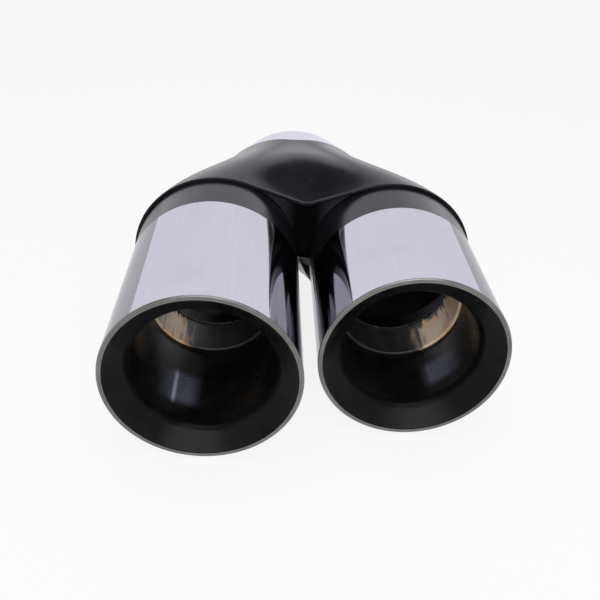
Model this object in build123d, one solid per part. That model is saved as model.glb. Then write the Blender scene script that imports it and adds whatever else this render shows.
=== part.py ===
"""Twin-outlet exhaust tip: a round inlet, a pressed Y-shaped collector and two staggered double-wall outlets.

The origin is the middle of the inlet's rear mouth. +Y points back into the exhaust pipe, the outlets
open towards -Y, +Z is up and +X is to the right for someone who stands behind the car.
A station is a distance ahead of the inlet's mouth, so a plane at station s stands at y = -s.
"""
import os
from math import atan, cos, sin, sqrt

from build123d import *

# Driving sizes, in millimetres

overall_length = 188.5          # inlet mouth to the rim of the left, longer outlet
outlet_stagger = 17.0           # the right outlet is this much shorter
outlet_gap = 6.4                # clear gap between the two outlets
inlet_side_offset = 4.1         # the middle of the outlets stands this far right of the inlet axis

outlet_diameter = 84.0
tube_wall = 1.2
rim_round = 0.5                 # rounded outer corner of each outlet rim

inlet_bore = 76.4               # slips over a 76 mm pipe
inlet_wall = 1.4
inlet_bare_length = 17.1        # inlet that shows behind the collector
inlet_seat_depth = 1.0          # inlet that reaches into the collector, past its rear wall

collector_length = 66.4         # front hem to rear wall
collector_wall = 2.0
hem_wall = 1.5                  # collector's wall round the tubes, at its front edge
collector_rear_wall = 2.5
rear_half_width = 48.2          # outside of the collector at its rear wall
rear_half_height = 40.8
rear_ridge = 6.4                # half the flat on top of the collector at its rear wall
rear_dip = 0.3                  # the valley between the branches, below their ridges, at the rear wall
saddle_dip = 12.7               # the same at the hem of the upper pressing
saddle_run = 0.65               # share of the collector's length over which the upper valley rises
crotch_height = 0.5             # height of the valley at the hem of the lower pressing
notch_depth = 29.4              # how far the lower hem runs back between the two tubes
notch_half_width = 31.5
web_thickness = 3.0             # walls that close the collector between the tubes
web_setback = 3.0               # the upper one of these stands this far behind the hem
tube_seat_depth = 3.0           # how far a tube reaches behind the hem

lip_depth = 11.0                # length of the flared lip inside each rim
lip_wall = 1.0
lip_land = 2.0                  # straight start of the flared lip
sleeve_bore = 61.0
sleeve_wall = 1.0

stub_wall = 1.8
stub_length = 21.0
stub_round = 0.6                # rounded front edge of each branch stub
stub_setback = 23.5             # hem to the rear end of each branch stub
bulkhead_thickness = 2.0
stub_weld_radius = 1.6
inlet_weld_leg = 0.9

# Clearances

tube_fit = 0.2                  # tube in collector, on the radius
sleeve_fit = 0.05               # nested rings and sleeves, on the radius
end_fit = 0.1                   # behind the end of a seated tube

# Derived places

hem_station = inlet_bare_length + collector_length
inlet_front_station = inlet_bare_length + collector_rear_wall + inlet_seat_depth
stub_rear_station = hem_station + stub_setback
tube_spacing = outlet_diameter + outlet_gap
tube_radius = outlet_diameter / 2
tube_bore_radius = tube_radius - tube_wall
inlet_radius = inlet_bore / 2 + inlet_wall
front_half_height = tube_radius + tube_fit + hem_wall
front_half_width = tube_spacing / 2 + front_half_height
saddle_height = front_half_height - saddle_dip
rear_valley = rear_half_height - rear_dip
sleeve_bore_radius = sleeve_bore / 2
sleeve_radius = sleeve_bore_radius + sleeve_wall
stub_radius = sleeve_bore_radius - sleeve_fit
stub_bore_radius = stub_radius - stub_wall
bulkhead_front = stub_rear_station + bulkhead_thickness
left_axis = inlet_side_offset - tube_spacing / 2
right_axis = inlet_side_offset + tube_spacing / 2
far = 2 * overall_length        # reaches past the part on any side

section_count = 9               # sections along the collector
valley_steps = (0.12, 0.25, 0.5, 0.75)
quarter_turn = 90


def ease(t):
    """A law from 0 to 1 that starts and ends level."""
    return t * t * (3 - 2 * t)


def blend(t):
    """Halfway between a straight law and an eased one."""
    return (t + ease(t)) / 2


def saddle_rise(t):
    """A law from 0 to 1 that rises from the hem and ends level before the rear wall."""
    share = min(1, t / saddle_run)
    return (ease(share) + share * (2 - share)) / 2


def between(front, rear, share):
    return front + (rear - front) * share


def wrapped(share, valley):
    """Crest that follows the tubes, at a share of the way from valley to ridge. The ridge has height 1."""
    drop = sqrt(1 - valley ** 2)
    return sqrt(1 - (drop * (1 - share)) ** 2)


def bridged(share, valley):
    """Crest with straight flanks that meet in the valley and run into the round ridges."""
    turn = 2 * atan(valley)
    flank = 1 - cos(turn)
    if share < flank:
        return between(valley, sin(turn), share / flank)
    return sqrt(1 - (1 - share) ** 2)


def collector_section(t, inset, front_valley, crest, rise):
    """Half section of the collector at t, 0 at the hem and 1 at the rear wall, drawn in by inset."""
    middle = inlet_side_offset * (1 - blend(t))
    ridge = between(tube_spacing / 2, rear_ridge, blend(t))
    half_width = between(front_half_width, rear_half_width, blend(t)) - inset
    half_height = between(front_half_height, rear_half_height, ease(t)) - inset
    valley = max(between(front_valley, rear_valley, rise(t)) - inset, crotch_height / 2)

    def crest_point(way, share):
        return (middle + way * share * ridge, half_height * crest(share, valley / half_height))

    right = [crest_point(1, share) for share in (*valley_steps, 1)]
    left = [crest_point(-1, share) for share in (*valley_steps, 1)]
    top_edge = Spline(*reversed(left), (middle, valley), *right, tangents=[(1, 0), (1, 0)])
    side = half_width - ridge
    right_centre = (middle + ridge, 0)
    right_side = EllipticalCenterArc(right_centre, side, half_height, 0, arc_size=quarter_turn)
    left_centre = (middle - ridge, 0)
    left_side = EllipticalCenterArc(left_centre, side, half_height, quarter_turn, arc_size=quarter_turn)
    parting = Line((middle - half_width, 0), (middle + half_width, 0))
    plane = Plane.XZ.offset(hem_station - t * collector_length)
    return plane * make_face([top_edge, right_side, parting, left_side])


def collector_form(inset, front_valley, crest, rise):
    """Half of the collector's outer form, or of its hollow where the inset is the wall."""
    shares = [index / (section_count - 1) for index in range(section_count)]
    return loft([collector_section(share, inset, front_valley, crest, rise) for share in shares])


def ahead_of_level(shift):
    """Everything ahead of a level hem that is moved back by the shift."""
    return Pos(0, shift - hem_station - far, 0) * Box(2 * far, 2 * far, 2 * far)


def ahead_of_hem(shift):
    """Everything ahead of the notched hem in plan, with that line moved back by the shift."""
    hem = shift - hem_station
    apex = (inlet_side_offset, hem + notch_depth)
    flanks = []
    for side in (-1, 1):
        edge = (inlet_side_offset + side * notch_half_width, hem)
        bend = (inlet_side_offset + side * notch_half_width / 2, hem)
        flanks.append(Bezier(edge, bend, apex))
    left_edge = (inlet_side_offset - notch_half_width, hem)
    right_edge = (inlet_side_offset + notch_half_width, hem)
    frame = Polyline(right_edge, (far, hem), (far, -far), (-far, -far), (-far, hem), left_edge)
    return extrude(make_face([*flanks, frame]), amount=far, both=True)


def turned(profile):
    """A ring turned about the Y axis from (radius, station) corners."""
    outline = Polyline(*[(radius, -station) for radius, station in profile], close=True)
    return revolve(make_face(outline), Axis.Y)


def ring(bore_radius, radius, front, rear):
    return turned([(bore_radius, front), (radius, front), (radius, rear), (bore_radius, rear)])


def front_edges(body, count):
    return body.edges().filter_by(GeomType.CIRCLE).sort_by(Axis.Y)[:count]


def tip_tube(axis_x, rim_station):
    """Outer skin of one outlet, cut behind so that it ends just behind the collector's hem."""
    tube = ring(tube_bore_radius, tube_radius, rim_station, inlet_bare_length)
    rim = front_edges(tube, 2).sort_by(SortBy.RADIUS)[-1]
    tube = Pos(axis_x, 0, 0) * fillet(rim, rim_round)
    return tube & ahead_of_hem(tube_seat_depth)


def tube_way(axis_x):
    """Round space of one tube with its clearance, all along the part."""
    return Pos(axis_x, 0, 0) * ring(0, tube_radius + tube_fit, overall_length, inlet_bare_length)


def tube_socket(axis_x):
    """Space that a seated tube takes in the collector, with its clearances."""
    return tube_way(axis_x) & ahead_of_hem(tube_seat_depth + end_fit)


def lip_cone(axis_x, rim_station):
    """Flared lip from the rim down to the inner sleeve."""
    outside = tube_bore_radius - sleeve_fit
    neck = rim_station - lip_depth
    profile = [
        (outside - lip_wall, rim_station),
        (outside, rim_station),
        (outside, rim_station - lip_land),
        (sleeve_radius, neck),
        (sleeve_bore_radius, neck),
    ]
    return Pos(axis_x, 0, 0) * turned(profile)


def inner_sleeve(axis_x, rim_station):
    """Inner wall of one outlet, from the lip back to the bulkhead."""
    neck = rim_station - lip_depth
    return Pos(axis_x, 0, 0) * ring(sleeve_bore_radius, sleeve_radius, neck, bulkhead_front)


def branch_stub(axis_x):
    """Short pipe that carries the inner sleeve and passes through the bulkhead."""
    stub = ring(stub_bore_radius, stub_radius, stub_rear_station + stub_length, stub_rear_station)
    return Pos(axis_x, 0, 0) * fillet(front_edges(stub, 2), stub_round)


def bulkhead_ring(axis_x):
    """Ring that closes the space between the outer tube and the branch stub."""
    outside = tube_bore_radius - sleeve_fit
    return Pos(axis_x, 0, 0) * ring(stub_radius + sleeve_fit, outside, bulkhead_front, stub_rear_station)


def stub_weld(axis_x):
    """Half-round bead over the rear end of the branch stub."""
    middle = stub_radius - stub_wall / 2
    rear = -stub_rear_station
    flat = Line((middle - stub_weld_radius, rear), (middle + stub_weld_radius, rear))
    crown = (middle, rear + stub_weld_radius)
    bow = ThreePointArc(flat @ 0, crown, flat @ 1)
    return Pos(axis_x, 0, 0) * revolve(make_face([flat, bow]), Axis.Y)


def inlet_sleeve():
    """Round pipe that slips over the exhaust pipe."""
    return ring(inlet_bore / 2, inlet_radius, inlet_front_station, 0)


def inlet_weld():
    """Bead in the corner between the collector's rear wall and the inlet."""
    foot = inlet_radius + sleeve_fit
    wall = inlet_bare_length
    return turned([(foot, wall), (foot + inlet_weld_leg, wall), (foot, wall - inlet_weld_leg)])


def pressing(form, hollow):
    """Form less its hollow, with a rear wall round the inlet and sockets for the tubes."""
    rear_wall = ring(0, far, inlet_bare_length + collector_rear_wall, 0)
    shell = form - (hollow - rear_wall)
    shell -= ring(0, inlet_radius + sleeve_fit, inlet_front_station, 0)
    for axis_x in (left_axis, right_axis):
        shell -= tube_socket(axis_x)
    return shell


def upper_pressing():
    """Half with a level hem and a shallow saddle, closed between the tubes by a web and a shelf below it."""
    web = ahead_of_level(web_setback + web_thickness) - ahead_of_level(web_setback)
    for axis_x in (left_axis, right_axis):
        web -= tube_way(axis_x)
    shelf = ahead_of_hem(web_thickness) & Box(2 * far, 2 * far, 2 * web_thickness)
    hollow = collector_form(collector_wall, saddle_height, bridged, saddle_rise) - web - shelf
    return pressing(collector_form(0, saddle_height, bridged, saddle_rise), hollow)


def lower_pressing():
    """Half that follows the tubes, with a hem that runs back between them. It is drawn upside down."""
    form = collector_form(0, crotch_height, wrapped, ease) - ahead_of_hem(0)
    hollow = collector_form(collector_wall, crotch_height, wrapped, ease) - ahead_of_hem(web_thickness)
    return mirror(pressing(form, hollow), Plane.XY)


def build_parts():
    parts = {"inlet_sleeve": inlet_sleeve(), "inlet_weld": inlet_weld()}
    parts["collector_upper"] = upper_pressing()
    parts["collector_lower"] = lower_pressing()
    outlets = {
        "left": (left_axis, overall_length),
        "right": (right_axis, overall_length - outlet_stagger),
    }
    for side, (axis_x, rim_station) in outlets.items():
        parts[f"{side}_tip_tube"] = tip_tube(axis_x, rim_station)
        parts[f"{side}_lip_cone"] = lip_cone(axis_x, rim_station)
        parts[f"{side}_inner_sleeve"] = inner_sleeve(axis_x, rim_station)
        parts[f"{side}_branch_stub"] = branch_stub(axis_x)
        parts[f"{side}_bulkhead_ring"] = bulkhead_ring(axis_x)
        parts[f"{side}_stub_weld"] = stub_weld(axis_x)
    return parts


os.makedirs("parts", exist_ok=True)
for name, body in build_parts().items():
    export_step(body, f"parts/{name}.step")
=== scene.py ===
"""Looks of the twin-outlet exhaust tip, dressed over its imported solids. Metres, in the solids' frame."""

from math import acos, atan, atan2, cos, pi, radians, sin, sqrt, tan

import bpy
from mathutils import Matrix, Vector, noise


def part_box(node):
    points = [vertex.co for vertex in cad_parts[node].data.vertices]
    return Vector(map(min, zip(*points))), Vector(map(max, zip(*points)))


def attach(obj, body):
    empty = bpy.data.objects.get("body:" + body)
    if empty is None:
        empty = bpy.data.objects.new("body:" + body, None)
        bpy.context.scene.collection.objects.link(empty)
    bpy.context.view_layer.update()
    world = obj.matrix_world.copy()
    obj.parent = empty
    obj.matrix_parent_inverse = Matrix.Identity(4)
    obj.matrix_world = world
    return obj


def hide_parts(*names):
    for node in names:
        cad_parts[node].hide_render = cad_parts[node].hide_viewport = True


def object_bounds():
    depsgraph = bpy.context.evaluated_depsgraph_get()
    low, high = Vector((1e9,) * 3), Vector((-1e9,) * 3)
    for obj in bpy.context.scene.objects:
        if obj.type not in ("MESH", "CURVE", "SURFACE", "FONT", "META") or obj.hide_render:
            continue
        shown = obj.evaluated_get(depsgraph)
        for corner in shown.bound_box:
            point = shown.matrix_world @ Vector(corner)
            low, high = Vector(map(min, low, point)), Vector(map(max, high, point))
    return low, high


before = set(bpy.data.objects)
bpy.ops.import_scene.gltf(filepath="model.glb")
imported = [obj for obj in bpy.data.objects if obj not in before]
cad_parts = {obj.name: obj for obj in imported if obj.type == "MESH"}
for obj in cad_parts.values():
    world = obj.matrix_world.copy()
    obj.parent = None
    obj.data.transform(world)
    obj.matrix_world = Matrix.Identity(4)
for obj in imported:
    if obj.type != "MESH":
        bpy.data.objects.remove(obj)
cad_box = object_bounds()

MM = 0.001
BODY = "root"

# Sizes read from the solids

tube_low, tube_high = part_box("left_tip_tube")
TUBE_RADIUS = (tube_high.x - tube_low.x) / 2
sleeve_low, sleeve_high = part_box("left_inner_sleeve")
SLEEVE_RADIUS = (sleeve_high.x - sleeve_low.x) / 2
lip_low, lip_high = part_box("left_lip_cone")
LIP_RADIUS = (lip_high.x - lip_low.x) / 2
LIP_DEPTH = lip_high.y - lip_low.y
stub_low, stub_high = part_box("left_branch_stub")
STUB_RADIUS = (stub_high.x - stub_low.x) / 2
STUB_FRONT = stub_low.y
STUB_REAR = stub_high.y
inlet_low, inlet_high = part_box("inlet_sleeve")
INLET_RADIUS = (inlet_high.x - inlet_low.x) / 2
collector_low, collector_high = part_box("collector_upper")
HEM = collector_low.y
REAR_WALL = collector_high.y
COLLECTOR_LENGTH = REAR_WALL - HEM
MIDDLE = (collector_low.x + collector_high.x) / 2
FRONT_HALF_WIDTH = (collector_high.x - collector_low.x) / 2
FRONT_HALF_HEIGHT = collector_high.z
AXES = {}
RIMS = {}
for side in ("left", "right"):
    low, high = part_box(f"{side}_tip_tube")
    AXES[side] = (low.x + high.x) / 2
    RIMS[side] = low.y
HALF_SPACING = (AXES["right"] - AXES["left"]) / 2
FLOOR = cad_box[0][2]

# Sizes that the boxes of the solids don't give

TUBE_WALL = 1.2 * MM
RIM_ROUND = 0.6 * MM
LIP_WALL = 1.0 * MM
LIP_LAND = 2.0 * MM
LIP_ROUND = 0.65 * MM
LIP_NECK_ROUND = 6.0 * MM        # soft run from the lip into the sleeve
LIP_NECK_RUN = 3.2 * MM
SLEEVE_WALL = 1.0 * MM
STUB_WALL = 1.8 * MM
STUB_ROUND = 0.6 * MM
STUB_WELD_RADIUS = 1.6 * MM
INLET_WALL = 1.4 * MM
INLET_ROUND = 0.4 * MM
INLET_WELD_LEG = 0.75 * MM
COLLECTOR_WALL = 2.0 * MM
COLLECTOR_REAR_WALL = 2.5 * MM
HEM_WALL = 1.5 * MM
REAR_HALF_WIDTH = 48.2 * MM
REAR_HALF_HEIGHT = 40.8 * MM
REAR_RIDGE = 6.4 * MM
REAR_VALLEY = 40.7 * MM
SADDLE_HEIGHT = 31.0 * MM        # where the flanks of the upper pressing would meet, at the hem
CROTCH_HEIGHT = 0.5 * MM         # height of the valley at the hem of the lower pressing
NOTCH_DEPTH = 29.4 * MM
NOTCH_HALF_WIDTH = 31.5 * MM
WEB_THICKNESS = 3.0 * MM
WEB_SETBACK = 3.0 * MM
TUBE_SEAT = 3.0 * MM
TUBE_FIT = 0.2 * MM
SEAM_FIT = 0.05 * MM
HEM_ROUND = 0.6 * MM
HEM_ROUND_SHARE = 0.8            # the most of a thin hem that is rounded
HEM_STEP = 0.01                  # share of the length that gives the skin's direction at its hem
REAR_ROUND = 2.0 * MM            # rounded rear edge, along the collector
REAR_DROP = 0.45 * MM            # and across its rear wall
SOCKET_RADIUS = TUBE_RADIUS + TUBE_FIT
HOLE_RADIUS = INLET_RADIUS + SEAM_FIT

# Places of the finishes and of the painted highlights and shade. A reach is measured from an outlet's axis
# towards its outer side

COAT_EDGE = -107.0 * MM          # the black coat ends here, and polished steel begins
LEFT_HIGHLIGHT = (RIMS["left"] + 20 * MM, RIMS["left"] + 39 * MM)      # painted highlight in the left sleeve, y to y
RIGHT_HIGHLIGHT = (RIMS["right"] + 18 * MM, RIMS["right"] + 32 * MM)   # and in the right one
LEFT_HIGHLIGHT_REACH = (6 * MM, 19 * MM)
RIGHT_HIGHLIGHT_REACH = (14 * MM, 25 * MM)
HIGHLIGHT_TOP = (-10 * MM, -14 * MM)             # heights between which a painted highlight sets in
HIGHLIGHT_END_BLUR = 3 * MM
HIGHLIGHT_SIDE_BLUR = 4 * MM
STREAK_REACH = (14.4 * MM, 15.6 * MM)
STREAK_BLUR = 0.8 * MM
LEFT_STREAK = 0.8                # strength of the pale streak of painted highlight in the left sleeve
RIGHT_STREAK = 0.1               # and in the right one
TINT_REACH = (11 * MM, 19 * MM)  # where the tan heat tint of a stub sets in, on its lit outer side; short of it the stub is painted shade
TINT_WAVER = 3 * MM              # either way
BURNT_START = STUB_REAR - 5 * MM             # the burnt end of a stub sets in here
BURNT_FULL = STUB_REAR - 3.5 * MM            # and is full from here
BURNT_SPIKES = (-6 * MM, 4 * MM)             # least and most shift of its edge
SHADE_GREY_REACH = (4 * MM, 15 * MM)    # distances from the middle between the tubes at which the painted shade turns to grey

# Fineness of the meshes

SEGMENTS = 192                   # round the tubes and sleeves
BEAD_SEGMENTS = 720              # round the weld beads
BEAD_STEPS = 10                  # across a weld bead
ARC_STEPS = 5                    # along a rounded edge
GUARD = 1.06                     # reach of the guard points beside an arc, as a share of the arc's own
SHARP = 40                       # degrees above which an edge is shaded as a sharp one
PRESSING_SHARP = 50              # the same on the pressings
HALVINGS = 48                    # steps of a search by halving
NEAR = 1e-6                      # slack for comparing places, which are stored in single precision


def link(name, vertices, faces, materials, indices=None, sharp=SHARP):
    """A mesh object in the scene, smooth but for its sharp edges, that rides on the one body."""
    mesh = bpy.data.meshes.new(name)
    mesh.from_pydata([tuple(v) for v in vertices], [], faces)
    for material in materials:
        mesh.materials.append(material)
    if indices is not None:
        mesh.polygons.foreach_set("material_index", indices)
    mesh.validate()
    mesh.shade_smooth()
    mesh.set_sharp_from_angle(angle=radians(sharp))
    piece = bpy.data.objects.new(name, mesh)
    bpy.context.scene.collection.objects.link(piece)
    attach(piece, BODY)
    return piece


def rounded(corners):
    """Points of a closed outline from (radius, y, round) corners, with each rounded corner as an arc.

    A guard point on either side of an arc keeps its shading off the straight stretches.
    """
    points = []
    count = len(corners)
    for index, (radius, y, fillet) in enumerate(corners):
        here = Vector((radius, y))
        if fillet <= 0:
            points.append(here)
            continue
        before = Vector(corners[index - 1][:2])
        after = Vector(corners[(index + 1) % count][:2])
        towards = (before - here).normalized()
        onwards = (after - here).normalized()
        half = acos(max(-1, min(1, towards.dot(onwards)))) / 2
        reach = fillet / tan(half)
        centre = here + (towards + onwards).normalized() * (fillet / sin(half))
        start = here + towards * reach - centre
        end = here + onwards * reach - centre
        turn = atan2(start.x * end.y - start.y * end.x, start.dot(end))
        points.append(here + towards * reach * GUARD)
        for step in range(ARC_STEPS + 1):
            spoke = start.copy()
            spoke.rotate(Matrix.Rotation(turn * step / ARC_STEPS, 2))
            points.append(centre + spoke)
        points.append(here + onwards * reach * GUARD)
    return points


def outward(outline):
    """The outline in the turning direction that makes the faces of lathe() point outwards."""
    total = 0
    for index, (radius, y) in enumerate(outline):
        next_radius, next_y = outline[(index + 1) % len(outline)]
        total += radius * next_y - next_radius * y
    return outline if total > 0 else outline[::-1]


def lathe(axis_x, outline, segments, shift=None):
    """Vertices and faces of a closed ring about a Y axis. shift(angle, radius, y) moves a point."""
    rows = len(outline)
    vertices = []
    for step in range(segments):
        angle = 2 * pi * step / segments
        for radius, y in outline:
            if shift:
                radius, y = shift(angle, radius, y)
            vertices.append((axis_x + radius * cos(angle), y, radius * sin(angle)))
    faces = []
    for step in range(segments):
        here = step * rows
        there = (step + 1) % segments * rows
        for index in range(rows):
            after = (index + 1) % rows
            faces.append((here + index, there + index, there + after, here + after))
    return vertices, faces


# Node materials


class Look:
    """Short calls for building one material's node tree."""

    MIX_FACTOR, MIX_FIRST, MIX_SECOND, MIX_RESULT = 0, 6, 7, 2      # by number, because names repeat
    SOCKETS = {
        "color": "Base Color",
        "metallic": "Metallic",
        "roughness": "Roughness",
        "specular": "Specular IOR Level",
        "ior": "IOR",
        "edge_tint": "Specular Tint",
        "normal": "Normal",
    }

    def __init__(self, name):
        self.material = bpy.data.materials.new(name)
        self.material.use_nodes = True
        self.tree = self.material.node_tree
        self.shader = self.tree.nodes["Principled BSDF"]

    def feed(self, socket, value):
        """Link another node to a socket, or give the socket a plain value."""
        if isinstance(value, bpy.types.NodeSocket):
            self.tree.links.new(value, socket)
        else:
            socket.default_value = value

    def set(self, **inputs):
        """Feed the shader, and return the finished material."""
        for key, value in inputs.items():
            self.feed(self.shader.inputs[self.SOCKETS[key]], value)
        return self.material

    def place(self):
        """The shaded point in the piece's own frame, in metres."""
        return self.tree.nodes.new("ShaderNodeTexCoord").outputs["Object"]

    def split(self):
        """The X, Y and Z of that point."""
        node = self.tree.nodes.new("ShaderNodeSeparateXYZ")
        self.feed(node.inputs[0], self.place())
        return node.outputs

    def noise(self, scale, detail=3.0, rough=0.55, offset=(0, 0, 0)):
        """Noise from 0 to 1. scale is the number of waves in a metre along each axis."""
        mapping = self.tree.nodes.new("ShaderNodeMapping")
        self.feed(mapping.inputs["Vector"], self.place())
        mapping.inputs["Scale"].default_value = scale
        mapping.inputs["Location"].default_value = offset
        node = self.tree.nodes.new("ShaderNodeTexNoise")
        self.feed(node.inputs["Vector"], mapping.outputs[0])
        node.inputs["Scale"].default_value = 1.0
        node.inputs["Detail"].default_value = detail
        node.inputs["Roughness"].default_value = rough
        return node.outputs["Fac"]

    def math(self, operation, first, second=0.0):
        """One operation on one or two values."""
        node = self.tree.nodes.new("ShaderNodeMath")
        node.operation = operation
        self.feed(node.inputs[0], first)
        self.feed(node.inputs[1], second)
        return node.outputs[0]

    def span(self, value, low, high, out_low=0.0, out_high=1.0):
        """A smooth step of the value from low to high."""
        node = self.tree.nodes.new("ShaderNodeMapRange")
        node.interpolation_type = "SMOOTHSTEP"
        self.feed(node.inputs["Value"], value)
        node.inputs["From Min"].default_value = low
        node.inputs["From Max"].default_value = high
        node.inputs["To Min"].default_value = out_low
        node.inputs["To Max"].default_value = out_high
        return node.outputs["Result"]

    def band(self, value, low, high, blur):
        """1 between low and high, with soft ends."""
        rise = self.span(value, low - blur, low + blur)
        return self.math("MULTIPLY", rise, self.span(value, high - blur, high + blur, 1.0, 0.0))

    def mix(self, share, first, second):
        """The colour at some share of the way from the first to the second."""
        node = self.tree.nodes.new("ShaderNodeMix")
        node.data_type = "RGBA"
        self.feed(node.inputs[self.MIX_FACTOR], share)
        self.feed(node.inputs[self.MIX_FIRST], first)
        self.feed(node.inputs[self.MIX_SECOND], second)
        return node.outputs[self.MIX_RESULT]

    def bump(self, height, strength, distance):
        """A normal that is tilted by the slopes of a height."""
        node = self.tree.nodes.new("ShaderNodeBump")
        self.feed(node.inputs["Height"], height)
        node.inputs["Strength"].default_value = strength
        node.inputs["Distance"].default_value = distance
        return node.outputs["Normal"]

    def from_middle(self):
        """Distance to either side from the middle between the outlets."""
        return self.math("ABSOLUTE", self.math("SUBTRACT", self.split()["X"], MIDDLE))

    def outer_reach(self):
        """Distance from the nearer outlet's axis towards that outlet's outer side."""
        return self.math("SUBTRACT", self.from_middle(), HALF_SPACING)


def polished_steel(name, shade, edge_tint):
    """Mirror steel with faint drawn lines along the tube, soft smudges and a few dark nicks."""
    look = Look(name)

    def tone_of(red, green, blue):
        return (red * shade, green * shade, blue * shade, 1)

    lines = look.noise((900, 7, 900), detail=4, rough=0.7)
    smudge = look.noise((45, 38, 45), detail=3, rough=0.6)
    nicks = look.noise((420, 260, 420), detail=1, rough=0.4, offset=(3, 1, 7))
    tone = look.mix(look.span(lines, 0.25, 0.75), tone_of(0.382, 0.375, 0.410), tone_of(0.402, 0.395, 0.430))
    tone = look.mix(look.span(smudge, 0.52, 0.72, 0.0, 0.35), tone, tone_of(0.352, 0.343, 0.348))
    tone = look.mix(look.span(nicks, 0.80, 0.84, 0.0, 0.8), tone, (0.10, 0.10, 0.12, 1))
    rough = look.span(smudge, 0.35, 0.75, 0.035, 0.07)
    rough = look.math("ADD", rough, look.span(lines, 0.3, 0.7, 0.0, 0.02))
    bump = look.bump(lines, 0.03, 0.1 * MM)
    return look.set(color=tone, metallic=1.0, roughness=rough, edge_tint=edge_tint, normal=bump)


def ground_edge():
    """Weld at the rim, ground flush: warm grey steel with fine turning marks."""
    look = Look("ground_edge")
    grain = look.noise((700, 2600, 700), detail=3, rough=0.6)
    patch = look.noise((90, 90, 90), detail=2)
    tone = look.mix(look.span(patch, 0.3, 0.7), (0.172, 0.166, 0.160, 1), (0.220, 0.213, 0.206, 1))
    rough = look.span(grain, 0.3, 0.7, 0.26, 0.4)
    return look.set(color=tone, metallic=1.0, roughness=rough, normal=look.bump(grain, 0.12, 0.1 * MM))


def black_coat():
    """Satin black coat: slight orange peel, dust specks and pale rubbed streaks."""
    look = Look("black_coat")
    peel = look.noise((1500, 1500, 1500), detail=2, rough=0.5)
    cloud = look.noise((60, 60, 60), detail=3, rough=0.6)
    dust = look.noise((900, 900, 900), detail=0, offset=(5, 2, 9))
    rub = look.noise((160, 40, 160), detail=3, rough=0.7, offset=(1, 8, 4))
    tone = look.mix(look.span(cloud, 0.3, 0.7), (0.007, 0.007, 0.009, 1), (0.011, 0.011, 0.014, 1))
    tone = look.mix(look.span(dust, 0.80, 0.86, 0.0, 0.3), tone, (0.15, 0.15, 0.16, 1))
    rough = look.math("ADD", look.span(cloud, 0.3, 0.7, 0.20, 0.25), look.span(rub, 0.6, 0.8, 0.0, 0.07))
    bump = look.bump(peel, 0.04, 0.1 * MM)
    return look.set(color=tone, roughness=rough, ior=1.27, edge_tint=(0.70, 0.67, 0.95, 1), normal=bump)


def painted_shade_black():
    """Near-black painted shade in the recess between the tubes, darkest in the middle and greyer towards the
    tubes.
    """
    look = Look("painted_shade_black")
    mottle = look.noise((240, 240, 240), detail=4, rough=0.65)
    tone = look.mix(look.span(mottle, 0.35, 0.7), (0.0012, 0.0012, 0.0015, 1), (0.003, 0.003, 0.0033, 1))
    tone = look.mix(look.span(look.from_middle(), *SHADE_GREY_REACH), tone, (0.036, 0.036, 0.042, 1))
    rough = look.span(mottle, 0.3, 0.7, 0.6, 0.8)
    return look.set(color=tone, roughness=rough, specular=0.04, normal=look.bump(mottle, 0.1, 0.2 * MM))


def dark_steel(name, gloss, patch=None):
    """Drawn steel inside the outlets, near black as painted shade, with turning marks and perhaps a painted
    highlight patch.
    """
    look = Look(name)
    marks = look.noise((60, 1500, 60), detail=3, rough=0.65)
    cloud = look.noise((70, 70, 70), detail=3, rough=0.6)
    # Painted shade: the inside is near black, darker than its bare steel
    tone = look.mix(look.span(cloud, 0.3, 0.7), (0.0034, 0.0034, 0.0038, 1), (0.0076, 0.0076, 0.008, 1))
    if patch:
        tone = painted_highlight(look, tone, *patch)
    rough = look.math("ADD", look.span(cloud, 0.3, 0.7, 0.24, 0.34), look.span(marks, 0.3, 0.7, 0.0, 0.02))
    return look.set(color=tone, roughness=rough, specular=gloss, normal=look.bump(marks, 0.01, 0.1 * MM))


def painted_highlight(look, tone, along_range, reach_range, streak_strength):
    """A soft blue painted highlight low on the outer side of a sleeve, with one pale streak of painted
    highlight.
    """
    reach = look.outer_reach()
    low = look.span(look.split()["Z"], *HIGHLIGHT_TOP)
    along = look.band(look.split()["Y"], *along_range, HIGHLIGHT_END_BLUR)
    cloud = look.noise((60, 30, 60), detail=3, rough=0.6, offset=(2, 4, 6))
    area = look.math("MULTIPLY", low, along)
    patch = look.math("MULTIPLY", area, look.band(reach, *reach_range, HIGHLIGHT_SIDE_BLUR))
    patch = look.math("MULTIPLY", patch, look.span(cloud, 0.2, 0.6, 0.5, 1.0))
    # Painted highlight: the blue patch and the pale streak stand in for a lamp's reflection
    tone = look.mix(patch, tone, (0.105, 0.112, 0.155, 1))
    streak = look.math("MULTIPLY", area, look.band(reach, *STREAK_REACH, STREAK_BLUR))
    return look.mix(look.math("MULTIPLY", streak, streak_strength), tone, (0.62, 0.66, 0.80, 1))


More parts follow.
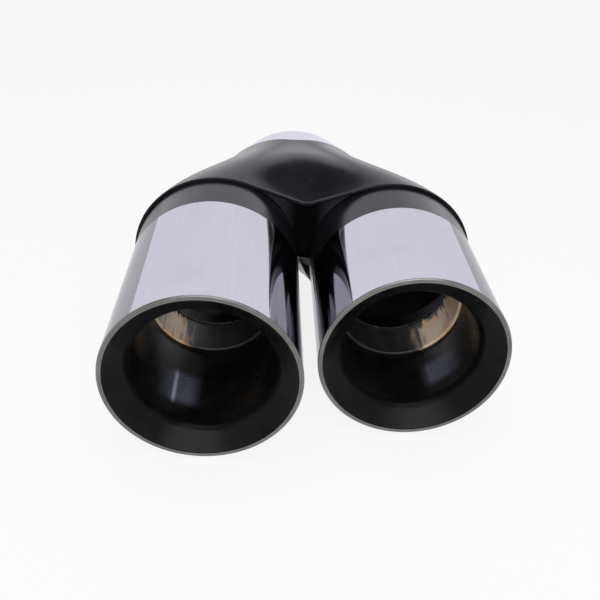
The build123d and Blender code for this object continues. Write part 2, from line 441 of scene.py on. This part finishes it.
def tinted_steel():
    """Bare stub steel with tan heat tint only on the lit outer side and painted shade elsewhere, burnt dark
    in spikes next to its weld.
    """
    look = Look("tinted_steel")
    cloud = look.noise((110, 70, 110), detail=4, rough=0.6)
    ripple = look.noise((420, 35, 420), detail=2, rough=0.5)
    spikes = look.noise((300, 20, 300), detail=4, rough=0.75, offset=(4, 0, 2))
    waver = look.span(ripple, 0.3, 0.7, -TINT_WAVER, TINT_WAVER)
    outer = look.span(look.math("ADD", look.outer_reach(), waver), *TINT_REACH)
    tan_tone = look.mix(look.span(cloud, 0.35, 0.65), (0.95, 0.58, 0.28, 1), (0.98, 0.80, 0.56, 1))
    tan_tone = look.mix(look.span(ripple, 0.58, 0.78, 0.0, 0.7), tan_tone, (0.16, 0.09, 0.05, 1))
    burnt = look.math("ADD", look.split()["Y"], look.span(spikes, 0.3, 0.7, *BURNT_SPIKES))
    burnt = look.span(burnt, BURNT_START, BURNT_FULL)
    tan_tone = look.mix(burnt, tan_tone, (0.012, 0.011, 0.011, 1))
    # Painted shade: away from the lit outer side the stub is near black
    dark = look.mix(look.span(cloud, 0.3, 0.7), (0.020, 0.019, 0.019, 1), (0.045, 0.042, 0.040, 1))
    tone = look.mix(outer, dark, tan_tone)
    return look.set(color=tone, metallic=0.1, roughness=0.4, normal=look.bump(ripple, 0.25, 0.3 * MM))


def weld_metal():
    """Rough burnt weld: dark scale over grey ripples."""
    look = Look("weld_metal")
    scale = look.noise((500, 500, 500), detail=4, rough=0.65)
    tone = look.mix(look.span(scale, 0.4, 0.65), (0.015, 0.014, 0.015, 1), (0.16, 0.14, 0.12, 1))
    return look.set(color=tone, metallic=0.5, roughness=0.5, normal=look.bump(scale, 0.3, 0.4 * MM))


LIP_GLOSS = 0.08
SLEEVE_GLOSS = 0.2

STEEL = polished_steel("polished_steel", shade=1.0, edge_tint=(0.72, 0.72, 0.75, 1))
INLET_STEEL = polished_steel("inlet_steel", shade=1.04, edge_tint=(0.92, 0.92, 0.96, 1))
EDGE = ground_edge()
COAT = black_coat()
SHADE_BLACK = painted_shade_black()
# Inside the outlets the steel is near black as painted shade, and the sleeves carry painted highlights
INNER = dark_steel("inner_steel", gloss=LIP_GLOSS)
SLEEVES = {
    "left": dark_steel("left_sleeve_steel", SLEEVE_GLOSS, (LEFT_HIGHLIGHT, LEFT_HIGHLIGHT_REACH, LEFT_STREAK)),
    "right": dark_steel("right_sleeve_steel", SLEEVE_GLOSS, (RIGHT_HIGHLIGHT, RIGHT_HIGHLIGHT_REACH, RIGHT_STREAK)),
}
TINTED = tinted_steel()
WELD = weld_metal()

# Collector laws, with t from 0 at the hem to 1 at the rear wall

VALLEY_ROUND = 0.14              # share of the ridge over which the lower valley is rounded
SADDLE_ROUND = 0.09              # the same for the upper one at its hem
SADDLE_ROUND_REAR = 0.55         # and at its rear wall
SADDLE_FLANGE = 0.022            # share of the length that is level along the upper hem
SADDLE_END = 0.63                # share of the length over which the saddle drops
DOME_HEIGHT = 1.8 * MM           # slight dome of the upper pressing between its ridges
DOME_PLACE = 0.42                # share of the length at which the dome is highest
DOME_END = 0.98                  # share of the length at which it has died out
DOME_EDGE = 0.12                 # share of the way to a ridge from which it dies out


def ease(t):
    """A smooth step from 0 to 1."""
    return t * t * (3 - 2 * t)


def blend(t):
    """Half-way between a straight run and a smooth step."""
    return (t + ease(t)) / 2


def between(front, rear, share):
    """The value at some share of the way from front to rear."""
    return front + (rear - front) * share


def wrapped(share, valley, t):
    """Crest of the lower pressing, which follows the tubes. The ridge has height 1, and t changes nothing."""
    drop = sqrt(1 - valley ** 2)

    def plain(u):
        return sqrt(1 - (drop * (1 - u)) ** 2)

    if share >= VALLEY_ROUND:
        return plain(share)
    edge = plain(VALLEY_ROUND)
    lift = drop * drop * (1 - VALLEY_ROUND) / edge * VALLEY_ROUND
    rise = edge - valley
    part = share / VALLEY_ROUND
    return valley + (2 * rise - lift / 2) * part ** 2 + (lift / 2 - rise) * part ** 4


def bridged(share, valley, t):
    """Crest of the upper pressing: straight flanks from a rounded valley to the round ridges."""
    turn = 2 * atan(valley)
    flank = 1 - cos(turn)
    slope = (sin(turn) - valley) / flank
    curve = between(SADDLE_ROUND, SADDLE_ROUND_REAR, ease(t))
    if share < curve:
        return valley + slope * (share ** 2 / curve + curve) / 2
    if share < flank:
        return valley + slope * share
    return sqrt(1 - (1 - share) ** 2)


def saddle_rise(t):
    """Law of the upper valley: level along the hem, then a quick rise that dies out towards the rear."""
    share = min(1, max(0, t - SADDLE_FLANGE) / SADDLE_END)
    return (ease(share) + share * (2 - share)) / 2


def skin_point(lane, t, inset, crest, front_valley, rise):
    """Point of a pressing. lane is -2 to 2: the crest is from -1 to 1 and the sides lie beyond it.

    crest(share, valley, t) is the law across the crest, and rise(t) that of the valley along the pressing.
    """
    middle = MIDDLE * (1 - blend(t))
    ridge = between(HALF_SPACING, REAR_RIDGE, blend(t))
    half_width = between(FRONT_HALF_WIDTH, REAR_HALF_WIDTH, blend(t)) - inset
    height = between(FRONT_HALF_HEIGHT, REAR_HALF_HEIGHT, ease(t)) - inset
    # An inset valley stays above the parting plane
    valley = max(between(front_valley, REAR_VALLEY, rise(t)) - inset, CROTCH_HEIGHT / 2)
    y = HEM + t * COLLECTOR_LENGTH
    reach = abs(lane)
    if reach <= 1:
        return Vector((middle + lane * ridge, y, height * crest(reach, valley / height, t)))
    way = 1 if lane > 0 else -1
    angle = (2 - reach) * pi / 2
    return Vector((middle + way * (ridge + (half_width - ridge) * cos(angle)), y, height * sin(angle)))


def dome(lane, t):
    """Rise of the upper pressing behind its hem, which dies out towards the ridges and the rear wall."""
    fade = min(1, max(0, abs(lane) - DOME_EDGE) / (1 - DOME_EDGE))
    before = min(1, t / DOME_PLACE)
    behind = min(1, max(0, t - DOME_PLACE) / (DOME_END - DOME_PLACE))
    return DOME_HEIGHT * (1 - ease(fade)) * ease(before) * (1 - ease(behind))


def upper_point(lane, t, inset):
    """Point of the upper pressing, on its skin or inset from it."""
    point = skin_point(lane, t, inset, bridged, SADDLE_HEIGHT, saddle_rise)
    point.z += dome(lane, t)
    return point


def lower_point(lane, t, inset):
    """Point of the lower pressing, turned upside down, on its skin or inset from it."""
    return skin_point(lane, t, inset, wrapped, CROTCH_HEIGHT, ease)


def hem_line(x):
    """The lower hem in plan: level in front, with a notch that runs back between the tubes."""
    share = abs(x - MIDDLE) / NOTCH_HALF_WIDTH
    return HEM + (NOTCH_DEPTH * (1 - share) ** 2 if share < 1 else 0)


def share_at_line(lane, inset, setback):
    """The t at which a lane of the lower skin crosses its hem's line, set back by some distance."""
    low, high = 0.0, 1.0
    for _ in range(HALVINGS):
        t = (low + high) / 2
        point = lower_point(lane, t, inset)
        if point.y < hem_line(point.x) + setback:
            low = t
        else:
            high = t
    return high


# Meshes of the pressings. A lane runs along the collector, in rows of points

SIDE_LANES = 64
CREST_LANES = 72
SKIN_ROWS = 56
INNER_ROWS = 24
WALL_ROWS = 3
WEB_ROWS = 10
WEB_COLUMNS = 48
WEB_REACH = 26 * MM              # half the width of the upper web
SEAT, SOCKET = -2, -1            # the last two points of a pressing's loop


def bow(start, corner, end):
    """Points of a rounded corner, from start to end."""
    points = []
    for step in range(ARC_STEPS + 1):
        share = step / ARC_STEPS
        points.append((1 - share) ** 2 * start + 2 * share * (1 - share) * corner + share ** 2 * end)
    return points


def on_socket(point, lane, always):
    """A point moved straight to the socket of its tube: always, or only if it lies inside the socket."""
    axis = AXES["left" if lane < 0 else "right"]
    radius = sqrt((point.x - axis) ** 2 + point.z ** 2)
    if radius > SOCKET_RADIUS and not always:
        return point
    scale = SOCKET_RADIUS / radius
    return Vector((axis + (point.x - axis) * scale, point.y, point.z * scale))


def skin_loop(point_at, lane, first, inside_first, socket, seat):
    """Closed loop of points through a pressing along one lane: hem, skin, rear wall, inside and socket."""
    hem = point_at(lane, first, 0)
    back = (point_at(lane, first + HEM_STEP, 0) - hem).normalized()
    inward = (socket - hem).normalized()
    round_here = min(HEM_ROUND, (socket - hem).length * HEM_ROUND_SHARE)
    loop = bow(hem + inward * round_here, hem, hem + back * round_here)
    start = first + round_here / COLLECTOR_LENGTH
    last = 1 - REAR_ROUND / COLLECTOR_LENGTH
    for row in range(1, SKIN_ROWS):
        share = row / SKIN_ROWS
        loop.append(point_at(lane, between(start, last, share * share * (2 - share)), 0))
    rear = point_at(lane, 1, 0)
    scale = HOLE_RADIUS / sqrt(rear.x ** 2 + rear.z ** 2)
    hole = Vector((rear.x * scale, REAR_WALL, rear.z * scale))
    below_edge = rear + (hole - rear).normalized() * REAR_DROP
    loop += bow(point_at(lane, last, 0), rear, below_edge)
    loop += [below_edge.lerp(hole, step / WALL_ROWS) for step in range(1, WALL_ROWS + 1)]
    loop.append(hole + Vector((0, -COLLECTOR_REAR_WALL, 0)))
    inside_last = 1 - COLLECTOR_REAR_WALL / COLLECTOR_LENGTH
    for row in range(INNER_ROWS + 1):
        loop.append(point_at(lane, between(inside_last, inside_first, row / INNER_ROWS), COLLECTOR_WALL))
    return [*loop, seat, socket]


def upper_loop(lane):
    """One lane of the upper pressing, with a level hem."""
    seat_share = TUBE_SEAT / COLLECTOR_LENGTH
    socket = on_socket(upper_point(lane, 0, HEM_WALL), lane, False)
    seat = on_socket(upper_point(lane, seat_share, HEM_WALL), lane, False)
    return skin_loop(upper_point, lane, 0, seat_share, socket, seat)


def lower_loop(lane, side):
    """One lane of the lower pressing, from its notched hem. The middle lane has a socket on either side."""
    first = share_at_line(lane, 0, 0)
    socket = on_socket(lower_point(lane, first, 0), -1 if side == "left" else 1, True)
    socket.y = hem_line(socket.x)
    seat = socket + Vector((0, WEB_THICKNESS, 0))
    inside_first = share_at_line(lane, COLLECTOR_WALL, WEB_THICKNESS)
    return skin_loop(lower_point, lane, first, inside_first, socket, seat)


def left_lanes():
    """Lanes from the left parting line to the middle, closer together next to the valley."""
    lanes = [-2 + step / SIDE_LANES for step in range(SIDE_LANES)]
    for step in range(CREST_LANES + 1):
        share = step / CREST_LANES
        lanes.append(-1 + share * (2 - share))
    return lanes


def add_points(vertices, points):
    """The numbers of vertices that are added for these points."""
    first = len(vertices)
    vertices.extend(point.copy() for point in points)
    return list(range(first, len(vertices)))


def bridge_loops(columns, faces):
    """Faces between neighbouring closed loops of vertex numbers."""
    count = len(columns[0])
    for here, there in zip(columns, columns[1:]):
        for index in range(count):
            after = (index + 1) % count
            faces.append((here[index], here[after], there[after], there[index]))


def cap_ends(first, last, faces):
    """Faces over the first and the last of a row of loops."""
    faces.append(tuple(reversed(first)))
    faces.append(tuple(last))


def section(x, front, rear, low, high):
    """Four corners of a wall's section at some x."""
    return [Vector((x, y, z)) for y, z in ((front, low), (front, high), (rear, high), (rear, low))]


def add_prism(vertices, faces, sections):
    """A closed solid through a row of sections."""
    columns = [add_points(vertices, corners) for corners in sections]
    bridge_loops(columns, faces)
    cap_ends(columns[0], columns[-1], faces)


def upper_web():
    """Sections of the wall that closes the upper pressing between the tubes, from left to right."""
    sections = []
    front, rear = HEM + WEB_SETBACK, HEM + WEB_SETBACK + WEB_THICKNESS
    for column in range(WEB_COLUMNS + 1):
        offset = between(-WEB_REACH, WEB_REACH, column / WEB_COLUMNS)
        low = sqrt(max(0, SOCKET_RADIUS ** 2 - (HALF_SPACING - abs(offset)) ** 2))
        top = upper_point(offset / HALF_SPACING, 0, HEM_WALL).z
        sections.append(section(MIDDLE + offset, front, rear, low, top))
    return sections


def upper_shelf():
    """Sections of the plate between the tubes that closes the upper pressing from below."""
    half = HALF_SPACING - SOCKET_RADIUS
    front, rear = HEM + WEB_SETBACK + WEB_THICKNESS, HEM + NOTCH_DEPTH + WEB_THICKNESS
    return [section(x, front, rear, 0, WEB_THICKNESS) for x in (MIDDLE - half, MIDDLE, MIDDLE + half)]


def collector_top():
    """Upper pressing: one shell with a shallow saddle, and the web and shelf between the tubes, in the
    near-black of painted shade.
    """
    lanes = left_lanes()
    lanes += [-lane for lane in reversed(lanes[:-1])]
    vertices, faces = [], []
    columns = [add_points(vertices, upper_loop(lane)) for lane in lanes]
    bridge_loops(columns, faces)
    cap_ends(columns[0], columns[-1], faces)
    skin_faces = len(faces)
    add_prism(vertices, faces, upper_web())
    add_prism(vertices, faces, upper_shelf())
    # The web and shelf take the black of painted shade
    indices = [0] * skin_faces + [1] * (len(faces) - skin_faces)
    piece = link("collector_top", vertices, faces, [COAT, SHADE_BLACK], indices, PRESSING_SHARP)
    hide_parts("collector_upper")


def lower_web(vertices, faces, left_edge, right_edge):
    """Wall behind the notch, in rows of three points from where the sockets meet to the parting plane.

    The edges are the loops of the middle lane, one with the left socket and one with the right.
    """
    top = vertices[left_edge[SOCKET]].z
    fronts, backs = [], []
    for row in range(WEB_ROWS + 1):
        height = top * (1 - row / WEB_ROWS)
        half = HALF_SPACING - sqrt(SOCKET_RADIUS ** 2 - height ** 2)
        for rows, end, setback in ((fronts, SOCKET, 0), (backs, SEAT, WEB_THICKNESS)):
            line = []
            for x in (MIDDLE - half, MIDDLE, MIDDLE + half):
                line.append(Vector((x, hem_line(x) + setback, height)))
            if row == 0:
                rows.append([left_edge[end], *add_points(vertices, line[1:2]), right_edge[end]])
            else:
                rows.append(add_points(vertices, line))
    # The top row meets the tips of the hem and of the inner skin in triangles
    hem_tip, inner_tip = left_edge[0], left_edge[SEAT - 1]
    (front_left, front_middle, front_right), (back_left, back_middle, back_right) = fronts[0], backs[0]
    faces.append((hem_tip, front_left, front_middle))
    faces.append((hem_tip, front_middle, front_right))
    faces.append((inner_tip, back_middle, back_left))
    faces.append((inner_tip, back_right, back_middle))
    halves = ((0, 1), (1, 2))
    for front, next_front, back, next_back in zip(fronts, fronts[1:], backs, backs[1:]):
        for one, other in halves:
            faces.append((front[one], next_front[one], next_front[other], front[other]))
            faces.append((back[one], back[other], next_back[other], next_back[one]))
        faces.append((front[0], back[0], next_back[0], next_front[0]))
        faces.append((front[-1], next_front[-1], next_back[-1], back[-1]))
    for one, other in halves:
        faces.append((fronts[-1][one], backs[-1][one], backs[-1][other], fronts[-1][other]))


def collector_bottom():
    """Lower pressing, drawn upside down: two branches with a notched hem and a web behind the notch."""
    lanes = left_lanes()
    vertices, faces = [], []
    left = [add_points(vertices, lower_loop(lane, "left")) for lane in lanes]
    middle = left[-1][:SEAT] + add_points(vertices, lower_loop(0.0, "right")[SEAT:])
    right = [middle]
    for lane in reversed(lanes[:-1]):
        right.append(add_points(vertices, lower_loop(-lane, "right")))
    bridge_loops(left, faces)
    bridge_loops(right, faces)
    cap_ends(left[0], right[-1], faces)
    lower_web(vertices, faces, left[-1], middle)
    for vertex in vertices:
        vertex.z = -vertex.z
    faces = [tuple(reversed(face)) for face in faces]
    piece = link("collector_bottom", vertices, faces, [COAT], sharp=PRESSING_SHARP)
    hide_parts("collector_lower")


# Outlets


def tip_skin(side):
    """Outer skin of one outlet: polished ahead of the coat's edge, black behind it, ground at the rim."""
    rim = RIMS[side]
    axis = AXES[side]
    bore = TUBE_RADIUS - TUBE_WALL
    tail = HEM + TUBE_SEAT
    outline = outward(rounded([
        (bore, rim, 0),
        (TUBE_RADIUS, rim, RIM_ROUND),
        (TUBE_RADIUS, COAT_EDGE, 0),
        (TUBE_RADIUS, tail, 0),
        (bore, tail, 0),
        (bore, COAT_EDGE, 0),
    ]))

    def shift(angle, radius, y):
        if abs(y - tail) < NEAR:
            y = hem_line(axis + radius * cos(angle)) + TUBE_SEAT
        return radius, y

    vertices, faces = lathe(axis, outline, SEGMENTS, shift)
    polished, ground, coated, inside = range(4)
    indices = []
    for face in faces:
        stations = [vertices[index][1] for index in face]
        radii = [sqrt((vertices[index][0] - axis) ** 2 + vertices[index][2] ** 2) for index in face]
        if max(stations) < rim + RIM_ROUND + NEAR:
            indices.append(ground)
        elif max(radii) < bore + NEAR:
            indices.append(inside)
        elif max(stations) > COAT_EDGE + NEAR:
            indices.append(coated)
        else:
            indices.append(polished)
    piece = link(f"{side}_tip_skin", vertices, faces, [STEEL, EDGE, COAT, INNER], indices)
    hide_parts(f"{side}_tip_tube")


def lip(side):
    """Flared lip inside the rim, its front edge ground flush with the outer skin."""
    rim = RIMS[side]
    neck = rim + LIP_DEPTH
    inside = SLEEVE_RADIUS - SLEEVE_WALL
    outline = outward(rounded([
        (LIP_RADIUS - LIP_WALL, rim, LIP_ROUND),
        (LIP_RADIUS, rim, 0),
        (LIP_RADIUS, rim + LIP_LAND, 0),
        (SLEEVE_RADIUS, neck, 0),
        (inside, neck, 0),
        (inside, neck - LIP_NECK_RUN, LIP_NECK_ROUND),
    ]))
    vertices, faces = lathe(AXES[side], outline, SEGMENTS)
    dark, ground = range(2)
    indices = []
    for face in faces:
        at_rim = max(vertices[index][1] for index in face) < rim + NEAR
        indices.append(ground if at_rim else dark)
    piece = link(f"{side}_lip", vertices, faces, [INNER, EDGE], indices)
    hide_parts(f"{side}_lip_cone")


def sleeve(side):
    """Inner wall of one outlet."""
    low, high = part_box(f"{side}_inner_sleeve")
    inside = SLEEVE_RADIUS - SLEEVE_WALL
    corners = [(inside, low.y), (SLEEVE_RADIUS, low.y), (SLEEVE_RADIUS, high.y), (inside, high.y)]
    vertices, faces = lathe(AXES[side], outward(corners), SEGMENTS)
    piece = link(f"{side}_sleeve", vertices, faces, [SLEEVES[side]])
    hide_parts(f"{side}_inner_sleeve")


def stub(side):
    """Short branch pipe with a rounded front edge and heat tint inside."""
    inside = STUB_RADIUS - STUB_WALL
    outline = outward(rounded([
        (inside, STUB_FRONT, STUB_ROUND),
        (STUB_RADIUS, STUB_FRONT, STUB_ROUND),
        (STUB_RADIUS, STUB_REAR, 0),
        (inside, STUB_REAR, 0),
    ]))
    vertices, faces = lathe(AXES[side], outline, SEGMENTS)
    piece = link(f"{side}_stub", vertices, faces, [TINTED])
    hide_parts(f"{side}_branch_stub")


# Weld beads

STUB_DENTS = ((16, 0.8, 0), (4, 0.6, 7))     # in a stub's bead: waves round it, weight and seed's offset
STUB_DENT_DEPTH = 0.35           # share of the bead's radius that a dent of full strength takes
INLET_HOLLOW = 0.12              # share by which the inlet's bead is hollow half-way across
INLET_SWELL = 0.86               # mean size of the inlet's bead, as a share of its leg
INLET_RIPPLES = 90               # round the inlet's bead
INLET_RIPPLE_HEIGHT = 0.13       # either way, as a share of the leg
INLET_DRIFT = 2                  # radians by which the ripples stray from even places
INLET_DRIFT_WAVES = 5
INLET_DRIFT_SEED = 3


def ring_noise(angle, waves, seed):
    """Noise from -1 to 1 that closes on itself round a ring."""
    return noise.noise(Vector((cos(angle) * waves, sin(angle) * waves, seed)))


def stub_bead(side):
    """Rough bead over the rear end of the stub, uneven as a hand-laid weld is."""
    middle = STUB_RADIUS - STUB_WALL / 2
    seed = AXES[side] / MM
    outline = []
    for step in range(BEAD_STEPS + 1):
        turn = pi * step / BEAD_STEPS
        outline.append((middle + STUB_WELD_RADIUS * cos(turn), STUB_REAR + STUB_WELD_RADIUS * sin(turn)))

    def shift(angle, radius, y):
        dent = sum(weight * ring_noise(angle, waves, seed + offset) for waves, weight, offset in STUB_DENTS)
        swell = 1 - STUB_DENT_DEPTH * max(0, dent)
        return middle + (radius - middle) * swell, STUB_REAR + (y - STUB_REAR) * swell

    vertices, faces = lathe(AXES[side], outward(outline), BEAD_SEGMENTS, shift)
    piece = link(f"{side}_stub_bead", vertices, faces, [WELD])
    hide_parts(f"{side}_stub_weld")


# Inlet


def inlet():
    """Polished pipe behind the collector, with softened ends."""
    inside = INLET_RADIUS - INLET_WALL
    outline = outward(rounded([
        (inside, inlet_low.y, INLET_ROUND),
        (INLET_RADIUS, inlet_low.y, INLET_ROUND),
        (INLET_RADIUS, inlet_high.y, INLET_ROUND),
        (inside, inlet_high.y, INLET_ROUND),
    ]))
    vertices, faces = lathe(0, outline, SEGMENTS)
    piece = link("inlet_pipe", vertices, faces, [INLET_STEEL])
    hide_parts("inlet_sleeve")


def inlet_bead():
    """Rippled bead between the inlet and the collector's rear wall."""
    foot = HOLE_RADIUS
    outline = [(foot, REAR_WALL)]
    for step in range(BEAD_STEPS + 1):
        share = step / BEAD_STEPS
        hollow = 1 - INLET_HOLLOW * sin(pi * share)
        reach = INLET_WELD_LEG * hollow
        outline.append((foot + reach * (1 - share), REAR_WALL + reach * share))

    def shift(angle, radius, y):
        drift = INLET_DRIFT * ring_noise(angle, INLET_DRIFT_WAVES, INLET_DRIFT_SEED)
        swell = INLET_SWELL + INLET_RIPPLE_HEIGHT * sin(angle * INLET_RIPPLES + drift)
        return foot + (radius - foot) * swell, REAR_WALL + (y - REAR_WALL) * swell

    vertices, faces = lathe(0, outward(outline), BEAD_SEGMENTS, shift)
    piece = link("inlet_bead", vertices, faces, [COAT])
    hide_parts("inlet_weld")


def finish_bulkheads():
    """Near-black painted shade steel on the two rings, which stay as the solids have them."""
    for side in AXES:
        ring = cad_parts[f"{side}_bulkhead_ring"]
        ring.data.materials.clear()
        ring.data.materials.append(INNER)


# Camera, light and stage. The camera was fitted to outlines of the part in the photo

CAMERA_PLACE = Vector((-16.99, -407.93, 184.99)) * MM
CAMERA_YAW = 0.0636030
CAMERA_PITCH = 0.5786823
CAMERA_ROLL = 0.0614071
FOCAL_PIXELS = 699.412
IMAGE_PIXELS = 600
SENSOR = 36
CLIP_START = 0.01

BACK_DISTANCE = 1.2              # soft lamp behind the part, standing on the floor
BACK_SIZE = (2.6, 1.01)
BACK_RADIANCE = 0.75
BACK_TONE = (0.90, 0.88, 1.0)
TOP_PLACE = (0, -0.28, 1.3)      # soft lamp above and a little ahead of the outlets, pointing straight down
TOP_TARGET = (0, -0.28, 0)
TOP_SIZE = (1.2, 1.2)
TOP_RADIANCE = 2.2
FRONT_PLACE = (0.02, -0.85, 0.45)            # small soft lamp above and behind the camera
FRONT_TARGET = (0, -0.15, 0)
FRONT_SIZE = (0.6, 0.4)
FRONT_RADIANCE = 4.4
WHITE = (1, 1, 1)

ROOM_LIGHT = 0.2                 # plain grey room above the stage
STAGE_SHADE = 0.15               # share of the stage's look that takes light and shadow
STAGE_TONE = (0.9, 0.9, 0.9, 1)
STAGE_RADIUS = 3.0
STAGE_HEIGHT = 2.3
STAGE_COVE = 0.6
STAGE_SEGMENTS = 96
COVE_STEPS = 12


def camera():
    """The photo's camera, from its place and its turn about three axes."""
    forward = Vector((
        sin(CAMERA_YAW) * cos(CAMERA_PITCH),
        cos(CAMERA_YAW) * cos(CAMERA_PITCH),
        -sin(CAMERA_PITCH),
    ))
    level = Vector((cos(CAMERA_YAW), -sin(CAMERA_YAW), 0))
    upright = level.cross(forward)
    right = cos(CAMERA_ROLL) * level + sin(CAMERA_ROLL) * upright
    up = cos(CAMERA_ROLL) * upright - sin(CAMERA_ROLL) * level
    data = bpy.data.cameras.new("camera")
    data.sensor_width = SENSOR
    data.lens = FOCAL_PIXELS / IMAGE_PIXELS * SENSOR
    data.clip_start = CLIP_START
    shooter = bpy.data.objects.new("camera", data)
    turn = Matrix((right, up, -forward)).transposed().to_4x4()
    shooter.matrix_world = Matrix.Translation(CAMERA_PLACE) @ turn
    bpy.context.scene.collection.objects.link(shooter)
    bpy.context.scene.camera = shooter


def panel(name, place, target, size, radiance, tone=WHITE):
    """A soft rectangular lamp with the given radiance, unseen by the camera itself."""
    width, height = size
    data = bpy.data.lights.new(name, "AREA")
    data.shape = "RECTANGLE"
    data.size = width
    data.size_y = height
    data.energy = radiance * width * height * pi
    data.color = tone
    lamp = bpy.data.objects.new(name, data)
    lamp.location = place
    lamp.rotation_euler = (Vector(target) - Vector(place)).to_track_quat("-Z", "Y").to_euler()
    lamp.visible_camera = False
    bpy.context.scene.collection.objects.link(lamp)


def lamps():
    """A large lamp behind the part, one above it and a small one in front."""
    middle = FLOOR + BACK_SIZE[1] / 2
    panel("back_softbox", (0, BACK_DISTANCE, middle), (0, 0, middle), BACK_SIZE, BACK_RADIANCE, BACK_TONE)
    panel("top_softbox", TOP_PLACE, TOP_TARGET, TOP_SIZE, TOP_RADIANCE)
    panel("front_softbox", FRONT_PLACE, FRONT_TARGET, FRONT_SIZE, FRONT_RADIANCE)


def room():
    """Even light from all round."""
    world = bpy.data.worlds.new("room")
    world.use_nodes = True
    background = world.node_tree.nodes["Background"]
    background.inputs["Color"].default_value = (1, 1, 1, 1)
    background.inputs["Strength"].default_value = ROOM_LIGHT
    bpy.context.scene.world = world


def stage_material():
    """White to the camera and in reflections, with a share that takes light and shadow."""
    material = bpy.data.materials.new("stage")
    material.use_nodes = True
    tree = material.node_tree
    tree.nodes.clear()
    path = tree.nodes.new("ShaderNodeLightPath")
    shown = path.outputs["Is Camera Ray"]
    for name in ("Is Glossy Ray", "Is Transmission Ray"):
        node = tree.nodes.new("ShaderNodeMath")
        node.operation = "MAXIMUM"
        tree.links.new(shown, node.inputs[0])
        tree.links.new(path.outputs[name], node.inputs[1])
        shown = node.outputs[0]
    share = tree.nodes.new("ShaderNodeMath")
    share.operation = "MULTIPLY"
    share.inputs[1].default_value = 1 - STAGE_SHADE
    tree.links.new(shown, share.inputs[0])
    matte = tree.nodes.new("ShaderNodeBsdfDiffuse")
    matte.inputs["Color"].default_value = STAGE_TONE
    white = tree.nodes.new("ShaderNodeEmission")
    mix = tree.nodes.new("ShaderNodeMixShader")
    tree.links.new(share.outputs[0], mix.inputs[0])
    tree.links.new(matte.outputs[0], mix.inputs[1])
    tree.links.new(white.outputs[0], mix.inputs[2])
    output = tree.nodes.new("ShaderNodeOutputMaterial")
    tree.links.new(mix.outputs[0], output.inputs["Surface"])
    return material


def stage():
    """Round pale floor with a coved wall about it."""
    profile = []
    for step in range(COVE_STEPS + 1):
        turn = pi / 2 * step / COVE_STEPS
        profile.append((STAGE_RADIUS - STAGE_COVE * (1 - sin(turn)), FLOOR + STAGE_COVE * (1 - cos(turn))))
    profile.append((STAGE_RADIUS, FLOOR + STAGE_HEIGHT))
    rows = len(profile)
    vertices = [(0, 0, FLOOR)]
    faces = []
    for step in range(STAGE_SEGMENTS):
        angle = 2 * pi * step / STAGE_SEGMENTS
        vertices += [(radius * cos(angle), radius * sin(angle), z) for radius, z in profile]
        here = 1 + step * rows
        there = 1 + (step + 1) % STAGE_SEGMENTS * rows
        faces.append((0, here, there))
        for index in range(rows - 1):
            faces.append((here + index, here + index + 1, there + index + 1, there + index))
    mesh = bpy.data.meshes.new("stage")
    mesh.from_pydata(vertices, [], faces)
    mesh.shade_smooth()
    mesh.materials.append(stage_material())
    floor = bpy.data.objects.new("stage", mesh)
    bpy.context.scene.collection.objects.link(floor)


# The scene

collector_top()
collector_bottom()
for side in AXES:
    tip_skin(side)
    lip(side)
    sleeve(side)
    stub(side)
    stub_bead(side)
inlet()
inlet_bead()
finish_bulkheads()
camera()
room()
stage()
lamps()
bpy.context.scene.view_settings.view_transform = "Standard"
